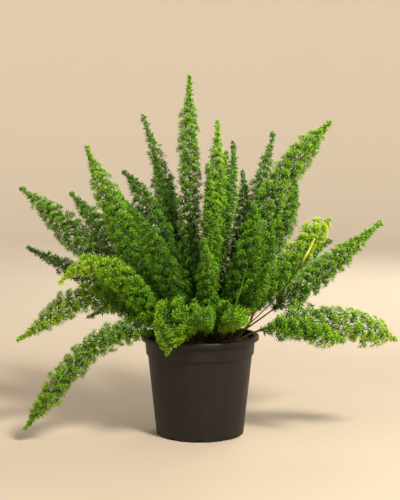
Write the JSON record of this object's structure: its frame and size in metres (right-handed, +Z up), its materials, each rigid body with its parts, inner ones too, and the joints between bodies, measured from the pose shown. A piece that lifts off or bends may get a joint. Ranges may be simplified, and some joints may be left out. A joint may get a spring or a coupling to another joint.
{
  "type": "potted foxtail fern",
  "caption": "Bushy foxtail fern with plume-like fronds spreading all round from a tapered dark plastic nursery pot.",
  "frame": {"origin": "middle of the pot's base, on the surface that the pot stands on", "axes": "+Z up through the pot's middle; -Y is the side that the rim fronds hang over; X is the plant's widest direction, with the drooping frond on the -X side"},
  "size_m": [0.545, 0.35, 0.515],
  "materials": {
    "pot_plastic": "satin near-black moulded plastic with fine scuffs",
    "potting_mix": "rough dark bark and peat mix",
    "crown_skin": "matte fibrous brown skin",
    "foliage": "soft satin green needles, yellower towards the young tips",
    "young_shoot": "smooth satin yellow-green skin",
    "dry_stem": "dry matte orange-brown"
  },
  "bodies": {
    "root": {"pot": "pot_plastic", "potting_mix": "potting_mix", "crown_with_roots": "crown_skin", "frond_tallest": "foliage", "frond_centre_bright": "foliage", "frond_centre_inner": "foliage", "frond_centre_right": "foliage", "frond_tall_left": "foliage", "frond_tall_right": "foliage", "frond_slim_left": "foliage", "frond_dark_right": "foliage", "frond_left_dense": "foliage", "frond_left_behind": "foliage", "frond_left_high": "foliage", "frond_left_wide": "foliage", "frond_left_long": "foliage", "frond_left_low_behind": "foliage", "frond_left_arching": "foliage", "frond_left_young": "foliage", "frond_left_short": "foliage", "frond_left_drooping": "foliage", "frond_right_high": "foliage", "frond_right_mid": "foliage", "frond_right_blunt": "foliage", "frond_right_short": "foliage", "frond_right_bare_stem": "foliage", "frond_right_drooping": "foliage", "frond_right_low": "foliage", "frond_rim_left": "foliage", "frond_rim_centre": "foliage", "frond_rim_small": "foliage", "frond_rim_right": "foliage", "frond_front_upright": "foliage", "frond_front_left": "foliage", "frond_front_right": "foliage", "frond_front_right_low": "foliage", "frond_front_right_short": "foliage", "frond_back_upright_left": "foliage", "frond_back_upright_right": "foliage", "frond_back_high_left": "foliage", "frond_back_high_right": "foliage", "frond_back_middle": "foliage", "frond_back_left": "foliage", "frond_back_right": "foliage", "frond_back_wide_left": "foliage", "frond_back_wide_right": "foliage", "frond_back_rim_left": "foliage", "frond_back_rim_right": "foliage", "frond_back_rim_middle": "foliage", "young_shoot_yellow": "young_shoot", "young_shoot_green": "young_shoot", "dry_stub": "dry_stem"}
  },
  "joints": []
}
